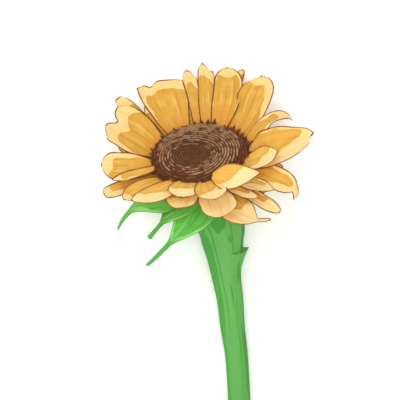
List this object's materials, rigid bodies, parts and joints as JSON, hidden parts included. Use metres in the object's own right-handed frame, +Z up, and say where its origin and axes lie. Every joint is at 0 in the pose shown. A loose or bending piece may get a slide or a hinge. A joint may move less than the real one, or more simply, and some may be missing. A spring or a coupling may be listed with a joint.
{
  "type": "cut sunflower",
  "caption": "Cut sunflower lying on its back: broad seed disc, rows of curling ray petals, green back with tailed bracts, and a thick bent stem with a torn leaf stub.",
  "frame": {"origin": "on the floor, under the middle of the part's bounding box", "axes": "+Z up, away from the floor that the flower lies on; -Y along the stem to its cut; +X to the right of someone who looks down on the flower with the stem towards them"},
  "size_m": [0.2092, 0.3806, 0.1373],
  "materials": {
    "petal": "matte golden yellow, paler at the tips",
    "disc": "rough brown florets in rings, dark centre and rim",
    "green": "matte green with lighter ribs and edges"
  },
  "bodies": {
    "root": {"seed_disc": "disc", "green_back": "green", "stem": "green", "leaf_stub": "green", "ray_01": "petal", "ray_02": "petal", "ray_03": "petal", "ray_04": "petal", "ray_05": "petal", "ray_06": "petal", "ray_07": "petal", "ray_08": "petal", "ray_09": "petal", "ray_10": "petal", "ray_11": "petal", "ray_12": "petal", "ray_13": "petal", "ray_14": "petal", "ray_15": "petal", "ray_16": "petal", "ray_17": "petal", "ray_18": "petal", "ray_19": "petal", "ray_20": "petal", "ray_21": "petal", "ray_22": "petal", "ray_23": "petal", "ray_24": "petal", "ray_25": "petal", "ray_26": "petal", "ray_27": "petal", "ray_28": "petal", "ray_29": "petal", "ray_30": "petal", "ray_31": "petal", "ray_32": "petal", "ray_33": "petal", "ray_34": "petal", "ray_35": "petal", "ray_36": "petal", "bract_01": "green", "bract_02": "green", "bract_03": "green", "bract_04": "green", "bract_05": "green", "bract_06": "green", "bract_07": "green", "bract_08": "green", "bract_09": "green", "bract_10": "green", "bract_11": "green", "bract_12": "green", "bract_13": "green"}
  },
  "joints": []
}
